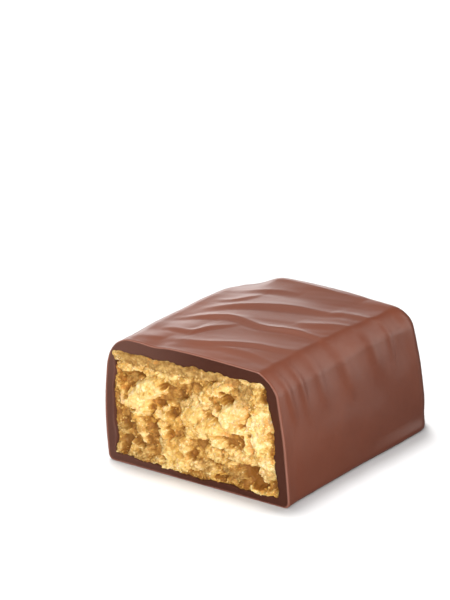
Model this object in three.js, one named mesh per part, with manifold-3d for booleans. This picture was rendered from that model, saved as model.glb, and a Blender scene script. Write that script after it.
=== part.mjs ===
// A cut length of halva candy: a crumbly pressed halva core inside a poured chocolate shell.
// X runs across the candy, Y from the cut face to the rounded back end, and Z up from the flat
// underside. The shell is open at the cut, where the core shows its torn, lumpy face. All lengths
// are in millimetres, and the finished group stands with its bounding box centred over the origin.
import * as THREE from 'three';
import { mergeVertices } from 'three/addons/utils/BufferGeometryUtils.js';
import { ImprovedNoise } from 'three/addons/math/ImprovedNoise.js';
import Module from 'manifold-3d';

// The outer block that the chocolate rounds off.
const halfWidth = 13.5;
const pieceLength = 32.8;
const pieceHeight = 16.5;

// Its edges: the long top edges, the top of the back wall, the two upright back corners, the foot.
const leftEdgeRadius = 3.9;
const leftEdgeRadiusInside = 2.8; // the left edge is tighter away from the cut
const rightEdgeRadius = 2.35;
const rightEdgeRadiusBack = 1.9;
const rightEdgePower = 1.4; // below 2 the right edge is a soft chamfer with a crease above it
const backEdgeRadius = 2.6;
const leftCornerRadius = 5.5;
const rightCornerRadius = 3.2;
const footRadius = 0.7;
const footFlare = 0.25; // the right foot spreads this much towards the back
const backWallLean = 2.4; // the back wall's top stands this much further forward than its belly
const backFootTuck = 0.6; // and its foot this much
const backZone = 10; // the stretch over which the back end's shape takes over

// The chocolate's thickness at each side of the core.
const baseThickness = 1.0;
const roofThickness = 1.9; // at the left, and a little less to the right
const roofThicknessRight = 1.4;
const leftThickness = 1.25;
const rightThickness = 1.6;
const backThickness = 1.7;
const coreGap = 0.3; // clearance between the core and the chocolate
const coreCornerRadius = 0.6;
const edgeWave = 0.3; // how far the core's edges wander

// How finely the skin is divided: around, along, and where its end closes over the back wall.
const roofSteps = 30;
const alongSteps = 49;
const backClosing = 5.5;

// Ripples that the cooling air left in the chocolate on top. Each follows a crest of a few (x, y)
// points, stands up by rise, and falls away over near towards the cut and over far towards the back.
const ripples = [
  { rise: 0.2, near: 0.8, far: 1.2, crest: [[-5.2, 2.6], [0.2, 4.5], [3.7, 5], [6.4, 4.8], [10.5, 3.8]] },
  { rise: 0.3, near: 0.8, far: 1.5, crest: [[-6.5, 3.4], [-1.8, 4.8], [1.5, 6.5], [4.2, 7.8], [10.4, 9.4]] },
  { rise: 0.28, near: 0.7, far: 1.2, crest: [[-9.4, 6.6], [-5.4, 7.1], [-3.7, 10.1], [-1.6, 12.3]] },
  { rise: 0.34, near: 0.8, far: 1.8, crest: [[-11, 10.2], [-6.5, 12.9], [1.3, 12.9], [10.8, 14.4]] },
  { rise: 0.3, near: 0.9, far: 1.9, crest: [[-9.8, 14.2], [-6.6, 17], [0.6, 20.1], [4.6, 22.9]] },
  { rise: 0.24, near: 0.9, far: 1.3, crest: [[3.8, 16.6], [5.6, 17.5], [8.4, 19.3], [10.9, 19.7]] },
  { rise: 0.24, near: 0.9, far: 1.2, crest: [[5.2, 22.3], [7.4, 23.4], [11, 23.8]] },
  { rise: 0.2, near: 0.8, far: 1.3, crest: [[-10.4, 23], [-8.2, 23.6], [-4.6, 25.2], [-1.5, 25.2]] },
  { rise: 0.34, near: 1.1, far: 1.9, crest: [[-10.6, 26.2], [-8.2, 28], [-4, 28], [1.6, 27.7], [6, 28.4]] },
  { rise: 0.16, near: 0.7, far: 0.9, crest: [[-11.2, 1.6], [-9.6, 2.7], [-6.9, 3.4]] },
];

// Soft upright flutes where the chocolate ran down the right side: place along Y, width and depth.
const flutes = [
  { y: 2.6, width: 0.8, depth: 0.2 },
  { y: 6.4, width: 0.9, depth: 0.24 },
  { y: 11.6, width: 1.1, depth: 0.2 },
  { y: 17.8, width: 1.3, depth: 0.2 },
  { y: 22.6, width: 1.0, depth: 0.18 },
  { y: 27.8, width: 1.3, depth: 0.16 },
];

// The torn face of the halva: mounds stand out of it (positive) and hollows go in, at (x, z).
const faceDepth = 0.55; // how far the face lies behind the cut on the whole
const faceLumps = [
  { x: -6.6, z: 11.2, radius: 2.1, height: 0.9 },
  { x: -8.9, z: 8.3, radius: 1.9, height: 0.9 },
  { x: -11.2, z: 12.0, radius: 1.3, height: 0.5 },
  { x: -3.9, z: 8.8, radius: 2.0, height: 0.3 },
  { x: 0.2, z: 8.0, radius: 2.3, height: 1.0 },
  { x: 3.4, z: 12.7, radius: 1.8, height: 0.6 },
  { x: 5.2, z: 9.4, radius: 2.2, height: 1.0 },
  { x: 9.4, z: 9.0, radius: 2.5, height: 1.2 },
  { x: 10.6, z: 4.6, radius: 1.5, height: 0.8 },
  { x: -3.9, z: 2.6, radius: 2.2, height: 0.8 },
  { x: 3.7, z: 4.9, radius: 2.1, height: 0.8 },
  { x: -9.0, z: 2.2, radius: 2.0, height: 0.5 },
  { x: -7.2, z: 5.7, radius: 1.9, height: -1.2 },
  { x: -10.7, z: 5.0, radius: 1.6, height: -0.8 },
  { x: -3.0, z: 5.4, radius: 1.6, height: -1.1 },
  { x: 0.5, z: 4.1, radius: 1.6, height: -0.9 },
  { x: 6.2, z: 6.4, radius: 1.6, height: -0.9 },
  { x: 8.2, z: 3.0, radius: 2.3, height: -1.0 },
  { x: 5.3, z: 11.9, radius: 1.2, height: -1.0 },
  { x: -2.4, z: 11.5, radius: 1.5, height: -0.9 },
  { x: 1.6, z: 11.0, radius: 1.2, height: -0.7 },
  { x: -9.2, z: 11.0, radius: 1.1, height: -0.6 },
];
const topBandRise = 0.6; // the smeared band of halva just under the roof stands out again

const noise = new ImprovedNoise();
const mix = THREE.MathUtils.lerp;
const ease = THREE.MathUtils.smoothstep;

// The point a little inside a corner of the block moves so that the square corner becomes a round
// one: a and b are how far it reaches into the corner's square from the round's centre. A power
// below 2 flattens the round towards a chamfer.
function roundCorner(a, b, power = 2) {
  if (a <= 0 || b <= 0) {
    return [a, b];
  }
  const share = Math.max(a, b) / (a ** power + b ** power) ** (1 / power);
  return [a * share, b * share];
}

// The radius of the top edge nearest to a point of the plan.
function topRadius(x, y) {
  const left = mix(leftEdgeRadius, leftEdgeRadiusInside, ease(y, 0, 9));
  const right = mix(rightEdgeRadius, rightEdgeRadiusBack, ease(y, 12, 26));
  const side = mix(left, right, (x + halfWidth) / (2 * halfWidth));
  return mix(side, backEdgeRadius, ease(y, pieceLength - backZone, pieceLength));
}

// The left side bulges a little, and the right one leans in as it rises, less towards the back.
function leftWall(z) {
  return -13.35 - 0.47 * Math.sin(Math.PI * Math.min(z / 13.5, 1));
}
function rightWall(z, y) {
  const lean = mix(1, 0.6, ease(y, 10, pieceLength));
  const flare = footFlare * (1 - ease(z, 0, 2.5)) * ease(y, 14, 26);
  return 13.5 + flare - lean * (0.045 * z + 0.0055 * z * z);
}

// The back wall leans towards the cut as it rises, and tucks in at its foot.
function backWall(z) {
  return backWallLean * (z / pieceHeight) ** 1.7 + backFootTuck * (1 - ease(z, 0, 4.5));
}

// How much higher than the block the top stands: it is a little lower at its sides, swells along
// the middle, has a shallow dip beside the left edge at the cut, and droops at its back corners.
function crown(x, y) {
  const dip = 0.22 * Math.exp(-(((x + 6.4) / 1.6) ** 2) - (y / 4) ** 2);
  const swell = 0.16 * Math.sin((Math.PI * y) / pieceLength);
  const droop = 0.1 * ease(x, 2, 12) * ease(y, 18, 30) + ease(-x, 7, 11.5) * ease(y, 21, 29);
  return 0.32 * Math.cos(x / 7) - 0.17 + swell - dip - droop;
}

// The height of the ripples at a point of the plan.
const crests = ripples.map(({ crest, ...ripple }) => ({
  ...ripple,
  line: new THREE.SplineCurve(crest.map(([x, y]) => new THREE.Vector2(x, y))).getPoints(24),
}));
function rippleHeight(x, y) {
  let height = 0;
  for (const { line, rise, near, far } of crests) {
    let nearest = Infinity;
    let place = 0;
    line.forEach((point, index) => {
      const distance = Math.hypot(point.x - x, point.y - y);
      if (distance < nearest) {
        nearest = distance;
        place = index;
      }
    });
    const beyond = y > line[place].y;
    const fall = Math.exp(-((nearest / (beyond ? far : near)) ** 2));
    const trough = beyond ? 0 : 0.35 * Math.exp(-(((nearest - 2 * near) / near) ** 2));
    const taper = Math.sin(Math.PI * mix(0.12, 0.88, place / (line.length - 1)));
    height += rise * taper * (fall - trough);
  }
  return height;
}

// How far the right side sinks in at the flutes, which fade towards the foot.
function fluteDepth(y, z) {
  let depth = 0;
  for (const flute of flutes) {
    depth += flute.depth * Math.exp(-(((y - flute.y) / flute.width) ** 2));
  }
  return depth * ease(z, 4, 12);
}

// A point of the plain block, from (-halfWidth, 0, 0) to (halfWidth, pieceLength, pieceHeight),
// becomes the same point of the chocolate's outer skin.
function skinPoint(point) {
  let { x, y, z } = point;
  const edge = Math.min(halfWidth - Math.abs(x), pieceLength - y);
  const radius = topRadius(x, y);
  const power = mix(2, rightEdgePower, ease(x, 5, 11) * ease(pieceLength - y, 2, 6));
  const [topIn, topUp] = roundCorner(radius - edge, z - (pieceHeight - radius), power);
  const [footIn, footDown] = roundCorner(footRadius - edge, footRadius - z);
  let inset = edge;
  if (z > pieceHeight - radius && edge < radius) {
    inset = radius - topIn;
    z = pieceHeight - radius + topUp;
  } else if (z < footRadius && edge < footRadius) {
    inset = footRadius - footIn;
    z = footRadius - footDown;
  }
  x *= (halfWidth - inset) / Math.max(halfWidth - edge, 0.001);
  const zoneStart = pieceLength - backZone;
  if (y > zoneStart) {
    y = zoneStart + ((y - zoneStart) * (backZone - inset)) / Math.max(backZone - edge, 0.001);
  }
  const cornerRadius = x < 0 ? leftCornerRadius : rightCornerRadius;
  const centreX = halfWidth - cornerRadius;
  const centreY = pieceLength - cornerRadius;
  const [acrossIn, alongIn] = roundCorner(Math.abs(x) - centreX, y - centreY);
  if (Math.abs(x) > centreX && y > centreY) {
    x = Math.sign(x) * (centreX + acrossIn);
    y = centreY + alongIn;
  }
  const up = z / pieceHeight;
  const across = (x + halfWidth) / (2 * halfWidth);
  y -= backWall(z) * ease(y, zoneStart, pieceLength);
  x = mix(leftWall(z), rightWall(z, y), across) - fluteDepth(y, z) * ease(across, 0.85, 0.97);
  z += (crown(x, y) + rippleHeight(x, y)) * up ** 6;
  return new THREE.Vector3(x, y, z);
}

// Where the outline's sides are divided, in shares of their length: closely where they are rounded.
const floorShares = [0, 0.02, 0.05, 0.09, 0.14, 0.2, 0.35, 0.65, 0.83, 0.89, 0.93, 0.97];
const wallShares = [0, 0.02, 0.045, 0.18, 0.33, 0.48, 0.62, 0.74, 0.8, 0.85, 0.9, 0.95];
const roofShares = Array.from({ length: roofSteps }, (_, index) => (index / roofSteps) ** 1.2);

// A rectangle in X and Z whose sides are divided at those shares, going round from the floor's left.
function dividedOutline() {
  const [left, right] = [-halfWidth, halfWidth];
  const downShares = [1, ...wallShares.slice(1).reverse()];
  const outline = [
    ...floorShares.map((share) => [mix(left, right, share), 0]),
    ...wallShares.map((share) => [right, share * pieceHeight]),
    ...roofShares.map((share) => [mix(right, left, share), pieceHeight]),
    ...downShares.map((share) => [left, share * pieceHeight]),
  ];
  return new THREE.Shape(outline.map(([x, z]) => new THREE.Vector2(x, z)));
}

// Moves every vertex of a geometry by a function, after joining the vertices that coincide.
function reshape(geometry, move) {
  geometry.deleteAttribute('normal');
  geometry.deleteAttribute('uv');
  const joined = mergeVertices(geometry, 1e-4);
  const place = joined.attributes.position;
  const point = new THREE.Vector3();
  for (let index = 0; index < place.count; index += 1) {
    const { x, y, z } = move(point.fromBufferAttribute(place, index));
    place.setXYZ(index, x, y, z);
  }
  return joined;
}

// The outer skin: the outline is drawn along Y, and its last stretch closes over the back wall in
// ever smaller rings around the middle of that wall.
function makeSkin() {
  const depth = pieceLength + backClosing;
  const block = new THREE.ExtrudeGeometry(dividedOutline(), {
    depth,
    steps: alongSteps,
    bevelEnabled: false,
  });
  block.rotateX(Math.PI / 2);
  block.translate(0, depth, 0);
  return reshape(block, (point) => {
    const closing = Math.max(point.y - pieceLength, 0) / backClosing;
    const size = 1 - 0.85 * closing;
    point.x *= size;
    point.y = Math.min(point.y, pieceLength);
    point.z = mix(pieceHeight / 2, point.z, size);
    return skinPoint(point);
  });
}

// The core's section is a box that follows the chocolate's sides, wavy where the halva is uneven.
// Across and up run from 0 to 1, and gap is how far the surface stands inside the chocolate.
function corePoint(across, y, up, gap) {
  const width = 2 * halfWidth;
  const [acrossIn, upIn] = roundCorner(
    Math.abs(across - 0.5) * width - (halfWidth - coreCornerRadius),
    Math.abs(up - 0.5) * pieceHeight - (pieceHeight / 2 - coreCornerRadius),
  );
  if (acrossIn > 0 && upIn > 0) {
    across = 0.5 + (Math.sign(across - 0.5) * (halfWidth - coreCornerRadius + acrossIn)) / width;
    up = 0.5 + (Math.sign(up - 0.5) * (pieceHeight / 2 - coreCornerRadius + upIn)) / pieceHeight;
  }
  const wave = (seed, at) => edgeWave * noise.noise(at * 0.45, y * 0.12, seed);
  const x0 = across * width;
  const sag = 0.42 * Math.exp(-(((x0 - 13) / 5) ** 2)) + 0.25 * Math.exp(-(((x0 - 23.5) / 1.5) ** 2));
  const floor = baseThickness - sag + wave(1.3, x0) + gap;
  const roof = pieceHeight - mix(roofThickness, roofThicknessRight, across) + wave(5.7, x0) - gap;
  const z = mix(floor, roof, up);
  const dent = 0.15 * Math.exp(-(((z - 5) / 1.6) ** 2));
  const shoulder = 0.35 * ease(z, 11, 15);
  const left = leftWall(z) + leftThickness + dent - shoulder + wave(9.1, z) + gap;
  const bulge = 0.25 * Math.exp(-(((z - 9.5) / 2) ** 2)) - 0.3 * Math.exp(-(((z - 5.3) / 1.8) ** 2));
  const right = rightWall(z, y) - rightThickness + bulge + 0.02 * (8 - z) + wave(13.9, z) - gap;
  return new THREE.Vector3(mix(left, right, across), y, z);
}

// A block of the core from one place along Y to another, with an optional shape for its front face.
function coreBlock(from, to, gap, [acrossCount, alongCount, upCount], front = () => 0) {
  const block = new THREE.BoxGeometry(1, 1, 1, acrossCount, alongCount, upCount);
  return reshape(block, ({ x, y, z }) => {
    const along = y + 0.5;
    const point = corePoint(x + 0.5, mix(from, to, along), z + 0.5, gap);
    const atBack = ease(point.y, pieceLength - backZone, pieceLength);
    point.x *= 1 - (point.x < 0 ? 0.3 : 0.1) * atBack ** 2;
    point.y -= backWall(point.z) * atBack;
    point.y += along === 0 ? front(point.x, point.z) : 0;
    return point;
  });
}

// How far behind the cut the torn face of the halva lies at a point of it.
function faceRelief(x, z) {
  const bendX = x + 0.7 * noise.noise(x * 0.5, z * 0.5, 2.5);
  const bendZ = z + 0.7 * noise.noise(x * 0.5, z * 0.5, 7.5);
  let out = topBandRise * ease(z, 13.2, 14);
  for (const lump of faceLumps) {
    const away = Math.hypot(bendX - lump.x, bendZ - lump.z) / lump.radius;
    out += lump.height * (1 - ease(away, 0.35, 1.15));
  }
  out += 0.3 * noise.noise(x * 0.9, z * 0.9, 3.1) + 0.16 * noise.noise(x * 1.9, z * 1.9, 4.7);
  return THREE.MathUtils.clamp(faceDepth - out, -0.55, 1.9);
}

// Cutting and joining closed shapes.
const wasm = await Module();
wasm.setup();

function toSolid(geometry) {
  const vertProperties = new Float32Array(geometry.attributes.position.array);
  const triVerts = new Uint32Array(geometry.index.array);
  return new wasm.Manifold(new wasm.Mesh({ numProp: 3, vertProperties, triVerts }));
}

function toGeometry(solid) {
  const { vertProperties, triVerts } = solid.getMesh();
  const geometry = new THREE.BufferGeometry();
  geometry.setAttribute('position', new THREE.BufferAttribute(vertProperties, 3));
  geometry.setIndex(new THREE.BufferAttribute(triVerts, 1));
  geometry.computeVertexNormals();
  return geometry;
}

// The chocolate: the skin, hollowed from beyond the cut to a back wall's thickness from its end.
const coreEnd = pieceLength - backThickness;
const cavity = coreBlock(-3, coreEnd, 0, [22, 9, 12]);
const glaze = new THREE.Mesh(
  toGeometry(toSolid(makeSkin()).subtract(toSolid(cavity))),
  new THREE.MeshStandardMaterial({ color: 0x7a4a3c, roughness: 0.38, metalness: 0 }),
);
glaze.name = 'chocolate_glaze';

// The halva: a finely divided front with the torn face, joined to a plain rear that fills the shell.
const tornFront = coreBlock(0, 3, coreGap, [50, 1, 29], faceRelief);
const plainRear = coreBlock(2.4, coreEnd - coreGap, coreGap + 0.05, [8, 8, 5]);
const filling = new THREE.Mesh(
  toGeometry(toSolid(tornFront).add(toSolid(plainRear))),
  new THREE.MeshStandardMaterial({ color: 0xd9b56a, roughness: 0.85, metalness: 0 }),
);
filling.name = 'halva_filling';

const candy = new THREE.Group();
candy.add(glaze, filling);
const bounds = new THREE.Box3().setFromObject(candy);
const centre = bounds.getCenter(new THREE.Vector3());
candy.position.set(-centre.x, -centre.y, -bounds.min.z);

export default candy;
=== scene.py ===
import math
import random

import bmesh
import bpy
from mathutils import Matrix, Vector, noise


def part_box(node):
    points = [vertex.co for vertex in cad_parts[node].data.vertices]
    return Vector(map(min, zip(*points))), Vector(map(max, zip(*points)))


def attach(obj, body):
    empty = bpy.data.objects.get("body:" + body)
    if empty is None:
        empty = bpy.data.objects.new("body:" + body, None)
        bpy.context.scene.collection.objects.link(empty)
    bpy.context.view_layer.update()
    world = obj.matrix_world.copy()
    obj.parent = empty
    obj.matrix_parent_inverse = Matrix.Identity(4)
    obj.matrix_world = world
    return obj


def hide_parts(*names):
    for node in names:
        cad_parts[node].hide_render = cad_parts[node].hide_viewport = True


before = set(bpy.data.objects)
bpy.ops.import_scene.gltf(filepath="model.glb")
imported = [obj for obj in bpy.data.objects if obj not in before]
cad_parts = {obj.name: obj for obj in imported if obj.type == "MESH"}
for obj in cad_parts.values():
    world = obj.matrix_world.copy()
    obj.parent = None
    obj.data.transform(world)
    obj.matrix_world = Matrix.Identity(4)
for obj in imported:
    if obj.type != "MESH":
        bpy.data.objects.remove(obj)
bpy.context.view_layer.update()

# ---------------------------------------------------------------------------------------------
# The chocolate coat: milk chocolate poured over the core and cooled in a draught, which left
# ripples across the top and soft flutes down its right side. A knife cut it square at the front.
# ---------------------------------------------------------------------------------------------

# The block that the coat rounds off, in millimetres, with the cut face at y = 0.
half_width = 13.5
piece_length = 32.8
piece_height = 16.5

# Its edges.
left_edge_radius = 3.9
left_edge_radius_inside = 2.8
right_edge_radius = 2.35
right_edge_radius_back = 1.9
back_edge_radius = 2.6
left_corner_radius = 5.5
right_corner_radius = 3.2
foot_radius = 0.7
right_edge_power = 1.4  # below 2 the right edge is a soft chamfer

# Its sides: the left one bellies out, the right one and the back lean in.
left_foot = 13.35
left_belly = 0.47
left_belly_top = 13.5
right_lean = 0.045
right_curve = 0.0055
right_lean_back = 0.6
foot_flare = 0.25
cut_rim = 0.15
back_wall_lean = 2.4
back_foot_tuck = 0.6
back_zone = 10

# Its top: a low crown, with a dip in the cut edge, a swell half way along, and soft shoulders.
crown_rise = 0.32
crown_level = -0.17
crown_width = 7
dip_depth = 0.22
dip_place = -6.4
swell_rise = 0.16
right_back_droop = 0.1
left_back_droop = 1.0
left_shoulder_drop = 0.15

# Ripples on top: points (x, y) along the crest, its height, and how far it reaches to the front
# and to the back. Most are steeper in front, and a trough runs before each.
ripples = [
    ([(-5.2, 2.0), (0.2, 3.7), (3.7, 4.2), (6.4, 4.0), (10.5, 3.0)], 0.1265, 0.6, 0.8),
    ([(-6.5, 2.9), (-1.8, 4.0), (1.5, 5.7), (4.2, 6.9), (6.6, 7.3), (10.4, 8.4)], 0.207, 0.5, 1.0),
    ([(-9.4, 5.8), (-8.2, 6.2), (-5.4, 6.2), (-4.5, 7.5), (-3.7, 9.0), (-1.6, 11.2)], 0.1955, 0.4, 0.8),
    ([(-11.0, 9.2), (-6.5, 12.0), (-3.5, 13.1), (1.3, 12.3), (5.5, 13.4), (10.8, 13.4)], 0.253, 0.5, 1.0),
    ([(-9.8, 13.2), (-6.6, 16.3), (-3.6, 18.4), (0.6, 20.0), (4.6, 20.8), (6.8, 21.6)], 0.23, 0.7, 1.2),
    ([(3.8, 15.6), (5.6, 16.5), (8.4, 18.2), (10.9, 18.6)], 0.1495, 0.7, 0.9),
    ([(5.2, 21.3), (7.4, 22.2), (11.0, 22.6)], 0.161, 0.6, 0.9),
    ([(-10.4, 22.0), (-8.2, 22.6), (-4.6, 24.2), (-1.5, 24.2)], 0.138, 0.7, 1.0),
    ([(-10.6, 26.0), (-8.2, 27.6), (-4.0, 27.6), (1.6, 27.3), (6.0, 27.8)], 0.345, 1.9, 1.5),
    ([(-11.2, 1.4), (-9.6, 2.3), (-6.9, 3.0)], 0.1035, 0.5, 0.7),
    ([(-10.2, 17.6), (-7.6, 18.2), (-5.4, 21.4)], 0.138, 0.5, 0.8),
]
# What they share: how round a crest is, how deep the trough is as a share of the crest's height,
# how far in front of the crest it lies as a share of the crest's reach, and the stretch across the
# candy in which the ripples rise from nothing. Wrinkles of two sizes lie between them.
crest_rounding = 0.22
trough_depth = 0.3
trough_place = 2.2
ripple_start = (-11.5, -6.5)
wrinkle_height = 0.08
fine_wrinkle_height = 0.015

# Ribs and flutes down the right side, where the chocolate ran: the place along the candy at the
# top edge, how far it drifts back on the way down, half its width, how deep it is (a rib where
# negative), and the height at which it fades out.
flutes = [
    (2.1, 1.0, 0.7, -0.17, 11.0),
    (5.0, 0.8, 0.7, -0.17, 11.0),
    (8.6, 1.1, 1.0, -0.15, 10.5),
    (13.9, 1.2, 1.4, -0.18, 10.5),
    (19.9, 1.2, 1.0, -0.14, 11.0),
    (23.7, 0.6, 0.6, -0.1, 11.5),
    (26.6, 0.6, 1.0, 0.05, 11.0),
]
flute_fade = 2.5
ledge_depth = 0.06


def mix(a, b, share):
    """From a at 0 to b at 1."""
    return a + (b - a) * share


def ease(value, start, end):
    """0 before start, 1 after end, and a smooth step between them."""
    t = min(max((value - start) / (end - start), 0), 1)
    return t * t * (3 - 2 * t)


def bell(distance):
    """1 at no distance, and nearly 0 beyond 2."""
    return math.exp(-distance * distance)


def round_corner(a, b, power=2):
    """Turns a square corner into a round one: a and b reach into it from the round's centre.

    A power below 2 makes it a soft chamfer, with a crease where it starts and ends."""
    if a <= 0 or b <= 0:
        return a, b
    share = max(a, b) / (a**power + b**power) ** (1 / power)
    return a * share, b * share


def smooth_line(points, steps=24):
    """Points along a smooth curve through a few points, as a Catmull-Rom spline."""
    line = []
    for step in range(steps + 1):
        place = step / steps * (len(points) - 1)
        index = min(int(place), len(points) - 2)
        nearby = [points[min(max(index + k, 0), len(points) - 1)] for k in (-1, 0, 1, 2)]
        t = place - index
        weights = (
            -0.5 * t + t**2 - 0.5 * t**3,
            1 - 2.5 * t**2 + 1.5 * t**3,
            0.5 * t + 2 * t**2 - 1.5 * t**3,
            -0.5 * t**2 + 0.5 * t**3,
        )
        columns = zip(*nearby)
        line.append(tuple(sum(w * value for w, value in zip(weights, column)) for column in columns))
    return line


def line_at(line, x):
    """Height and slope, at x, of a line whose points run from left to right."""
    for (x0, y0), (x1, y1) in zip(line, line[1:]):
        if x <= x1:
            slope = (y1 - y0) / (x1 - x0)
            return y0 + slope * (x - x0), slope
    return line[-1][1], 0


crests = [(smooth_line(points), rise, front, back) for points, rise, front, back in ripples]


def ripple_height(x, y):
    """The ripples as a sum of their crests, which fade out to the left, and finer wrinkles."""
    height = 0
    for line, rise, front, back in crests:
        along = (x - line[0][0]) / (line[-1][0] - line[0][0])
        if not 0 < along < 1:
            continue
        crest, slope = line_at(line, x)
        beyond = (y - crest) / math.hypot(1, slope)
        if abs(beyond) > 5 * back:
            continue
        away = math.hypot(beyond, crest_rounding) - crest_rounding
        fall = math.exp(-away / (back if beyond > 0 else front))
        trough = trough_depth * bell(beyond / front + trough_place)
        height += rise * (4 * along * (1 - along)) ** 0.7 * (fall - trough)
    drift = y - 0.3 * x
    broad = noise.noise(Vector((x * 0.12, drift * 0.34, 4.5)))
    fine = noise.noise(Vector((x * 0.22 + 9, drift * 0.95 + 0.5 * broad, 8.5)))
    return height * ease(x, *ripple_start) + wrinkle_height * broad + fine_wrinkle_height * fine


def top_radius(x, y):
    """The radius of the top edge, blended between the left, the right and the back."""
    left = mix(left_edge_radius, left_edge_radius_inside, ease(y, 0, 9))
    right = mix(right_edge_radius, right_edge_radius_back, ease(y, 12, 26))
    side = mix(left, right, (x + half_width) / (2 * half_width))
    return mix(side, back_edge_radius, ease(y, piece_length - back_zone, piece_length))


def left_wall(z):
    """Where the left side stands: it bellies out a little below its top edge."""
    return -left_foot - left_belly * math.sin(math.pi * min(z / left_belly_top, 1))


def right_wall(z, y):
    """Where the right side stands: it leans in, less so towards the back."""
    lean = mix(1, right_lean_back, ease(y, 10, piece_length))
    flare = foot_flare * (1 - ease(z, 0, 2.5)) * ease(y, 14, 26)
    rim = cut_rim * (1 - ease(y, 0, 2.5))
    return half_width + flare + rim - lean * (right_lean * z + right_curve * z * z)


def back_wall(z):
    """How far in the back end stands: it leans in, and tucks in again at its foot."""
    return back_wall_lean * (z / piece_height) ** 1.7 + back_foot_tuck * (1 - ease(z, 0, 4.5))


def crown(x, y):
    """How far the top stands above the plain block, ripples apart."""
    rise = crown_rise * math.cos(x / crown_width) + crown_level
    rise += swell_rise * math.sin(math.pi * y / piece_length)
    rise -= dip_depth * bell(math.hypot((x - dip_place) / 1.6, y / 4))
    rise -= right_back_droop * ease(x, 2, 12) * ease(y, 18, 30)
    rise -= left_back_droop * ease(-x, 7, 11.5) * ease(y, 21, 29)
    return rise - left_shoulder_drop * ease(-x, 6, 10.5) * ease(y, 1, 6)


def flute_depth(y, z):
    """How far the right side is hollowed by its flutes, and by faint broad ledges."""
    total = ledge_depth * noise.noise(Vector((y * 0.3, z * 0.25, 2.5))) * ease(z, 0, 2)
    for place, drift, width, depth, fade in flutes:
        middle = place + drift * ease(piece_height - z, 0, 8)
        total += depth * bell((y - middle) / width) * ease(z, fade - flute_fade, fade + flute_fade)
    return total


def skin_point(x, y, z):
    """A point of the plain block becomes the same point of the coat's outer skin."""
    edge = min(half_width - abs(x), piece_length - y)
    radius = top_radius(x, y)
    inset = edge
    if z > piece_height - radius and edge < radius:
        power = mix(2, right_edge_power, ease(x, 5, 11) * ease(piece_length - y, 2, 6))
        across, up = round_corner(radius - edge, z - (piece_height - radius), power)
        inset = radius - across
        z = piece_height - radius + up
    elif z < foot_radius and edge < foot_radius:
        across, down = round_corner(foot_radius - edge, foot_radius - z)
        inset = foot_radius - across
        z = foot_radius - down
    x *= (half_width - inset) / max(half_width - edge, 0.001)
    zone_start = piece_length - back_zone
    if y > zone_start:
        y = zone_start + (y - zone_start) * (back_zone - inset) / max(back_zone - edge, 0.001)
    corner = left_corner_radius if x < 0 else right_corner_radius
    centre_x = half_width - corner
    centre_y = piece_length - corner
    if abs(x) > centre_x and y > centre_y:
        across, along = round_corner(abs(x) - centre_x, y - centre_y)
        x = math.copysign(centre_x + across, x)
        y = centre_y + along
    up = z / piece_height
    across = (x + half_width) / (2 * half_width)
    y -= back_wall(z) * ease(y, zone_start, piece_length)
    x = mix(left_wall(z), right_wall(z, y), across) - flute_depth(y, z) * ease(across, 0.85, 0.97)
    z += (crown(x, y) + ripple_height(x, y)) * up**6
    return Vector((x, y, z))


# The hollow that the core fills, as seen at the cut: the thickness of the chocolate round it, the
# roof's at the left and at the right, and how far its edges wander.
base_thickness = 1.0
roof_thickness = (1.9, 1.4)
left_thickness = 1.25
right_thickness = 1.6
core_corner_radius = 0.6
edge_wave = 0.28
base_sag = 0.42
base_sag_right = 0.25
left_dent = 0.15
left_shoulder = 0.35
right_bulge = 0.25
right_hollow = 0.3
right_slant = 0.02
narrowing_left = 0.3
narrowing_right = 0.1


def core_point(across, y, up, gap=0):
    """A point of the core's outline: across and up run from 0 to 1, and gap stands it further in."""
    width = 2 * half_width
    reach_x = abs(across - 0.5) * width - (half_width - core_corner_radius)
    reach_z = abs(up - 0.5) * piece_height - (piece_height / 2 - core_corner_radius)
    if reach_x > 0 and reach_z > 0:
        in_x, in_z = round_corner(reach_x, reach_z)
        across = 0.5 + math.copysign(half_width - core_corner_radius + in_x, across - 0.5) / width
        up = 0.5 + math.copysign(piece_height / 2 - core_corner_radius + in_z, up - 0.5) / piece_height

    def wave(seed, at):
        coarse = noise.noise(Vector((at * 0.45, y * 0.12, seed)))
        fine = noise.noise(Vector((at * 1.7, y * 0.8, seed + 40)))
        return edge_wave * (coarse + 0.6 * fine)

    x0 = across * width
    sag = base_sag * bell((x0 - 13.0) / 5.0) + base_sag_right * bell((x0 - 23.5) / 1.5)
    floor = base_thickness - sag + wave(1.3, x0) + gap
    roof = piece_height - mix(*roof_thickness, across) + wave(5.7, x0) - gap
    z = mix(floor, roof, up)
    left = left_wall(z) + left_thickness + wave(9.1, z) + gap
    left += left_dent * bell((z - 5) / 1.6) - left_shoulder * ease(z, 11, 15)
    right = right_wall(z, y) - right_thickness + right_slant * (8 - z) + wave(13.9, z) - gap
    right += right_bulge * bell((z - 9.5) / 2) - right_hollow * bell((z - 5.3) / 1.8)
    return Vector((mix(left, right, across), y, z))


def hollow_point(across, y, up, gap=0):
    """The same outline any way along the hollow, which leans and narrows with the back wall."""
    place = core_point(across, y, up, gap)
    at_back = ease(y, piece_length - back_zone, piece_length)
    narrowing = narrowing_left if place.x < 0 else narrowing_right
    place.x *= 1 - narrowing * at_back**2
    place.y -= back_wall(place.z) * at_back
    return place


def divide(bm, axis, cuts):
    """Divides every edge that runs along one axis, so that a box gets an even grid on its faces."""

    def runs_along(edge):
        span = edge.verts[1].co - edge.verts[0].co
        return abs(span[axis]) > 0.999 * span.length

    edges = [edge for edge in bm.edges if runs_along(edge)]
    bmesh.ops.subdivide_edges(bm, edges=edges, cuts=cuts, use_grid_fill=True)


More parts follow.
